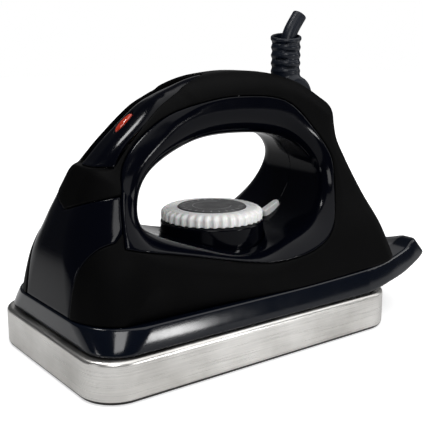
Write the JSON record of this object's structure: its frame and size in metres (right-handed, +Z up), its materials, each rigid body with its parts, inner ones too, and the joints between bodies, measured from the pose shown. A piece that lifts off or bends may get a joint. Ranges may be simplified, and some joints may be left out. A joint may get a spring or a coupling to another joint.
{
  "type": "waxing iron",
  "caption": "Waxing iron for skis: thick flat metal sole, black closed-handle housing, fluted heat dial under the handle, pilot lamp, upswept heel rest and tilting cord guard.",
  "frame": {"origin": "on the sole's flat bottom face and the centre plane, 75 mm behind the front edge, below the middle of the hand opening", "axes": "+X towards the nose, +Y towards the iron's left side, +Z up, away from the sole"},
  "size_m": [0.185, 0.092, 0.1402],
  "materials": {
    "sole_aluminium": "brushed satin, polished top edge",
    "heater_steel": "heat-tinted satin",
    "sheet_aluminium": "mill finish",
    "screw_steel": "zinc plated",
    "ceramic_white": "matte",
    "sheet_steel": "galvanised",
    "skirt_plastic": "gloss, heat resistant",
    "shell_plastic": "fine matte",
    "gloss_black": "gloss",
    "lens_red": "clear gloss",
    "lamp_glass": "clear",
    "resistor_body": "lacquered",
    "wire_heatproof": "matte",
    "knob_white": "semi-gloss",
    "disc_grey": "satin",
    "spring_steel": "satin",
    "brass_fittings": "plain",
    "bimetal": "satin",
    "contact_silver": "polished",
    "fuse_sleeving": "woven glass",
    "cord_rubber": "satin",
    "block_white": "matte",
    "wire_green_yellow": "satin",
    "wire_brown": "satin",
    "wire_blue": "satin"
  },
  "bodies": {
    "iron": {"sole_plate": "sole_aluminium", "heating_element": "heater_steel", "heater_clamp_plate": "sheet_aluminium", "clamp_plate_screws": "screw_steel", "heater_seals": "ceramic_white", "heater_pins": "screw_steel", "insulating_spacers": "ceramic_white", "sole_screws": "screw_steel", "heat_shield": "sheet_steel", "base_skirt": "skirt_plastic", "housing_screws": "screw_steel", "outer_shell": "shell_plastic", "nose_cover": "gloss_black", "lamp_cover": "gloss_black", "liner_left": "gloss_black", "liner_right": "gloss_black", "lamp_lens": "lens_red", "neon_lamp": "lamp_glass", "lamp_resistor": "resistor_body", "lamp_wires": "wire_heatproof", "dial_pedestal": "gloss_black", "dial_pointer": "knob_white", "thermostat_bracket": "screw_steel", "thermostat_screws": "screw_steel", "spindle_bush": "brass_fittings", "thermostat_base": "screw_steel", "bimetal_strip": "bimetal", "contact_leaves": "spring_steel", "contact_points": "contact_silver", "ceramic_washers": "ceramic_white", "stack_rivet": "screw_steel", "bimetal_bead": "ceramic_white", "terminal_tabs": "brass_fittings", "thermal_fuse": "screw_steel", "fuse_sleeve": "fuse_sleeving", "fuse_clip": "screw_steel", "fuse_clip_screw": "screw_steel", "cord_lead": "cord_rubber", "cord_clamp": "block_white", "cord_clamp_screws": "screw_steel", "terminal_block": "block_white", "terminal_screws": "brass_fittings", "block_screws": "screw_steel", "heater_wires": "wire_heatproof", "earth_link": "wire_green_yellow", "live_wire": "wire_brown", "earth_wire": "wire_green_yellow", "neutral_wire": "wire_blue"},
    "dial": {"dial_knob": "knob_white", "dial_disc": "disc_grey", "dial_clip": "spring_steel", "thermostat_spindle": "screw_steel"},
    "pin": {"setting_pin": "ceramic_white"},
    "guard": {"cord_guard": "cord_rubber", "power_cord": "cord_rubber", "cord_cores": "brass_fittings"}
  },
  "joints": [
    {"name": "dial_turn", "type": "hinge", "parent": "iron", "child": "dial", "pos_m": [-0.0073, 0, 0.052], "axis": [0, 0, 1], "range_deg": [-280, 0]},
    {"name": "setting_pin_travel", "type": "slide", "parent": "iron", "child": "pin", "axis": [0, 0, 1], "range_m": [-0.0006, 0]},
    {"name": "cord_guard_tilt", "type": "hinge", "parent": "iron", "child": "guard", "pos_m": [-0.05, 0, 0.1025], "axis": [0, 1, 0], "range_deg": [-50, 6]}
  ],
  "couplings": [
    {"joint": "setting_pin_travel", "follows": "dial_turn", "m_per_rad": 0.0001194}
  ]
}
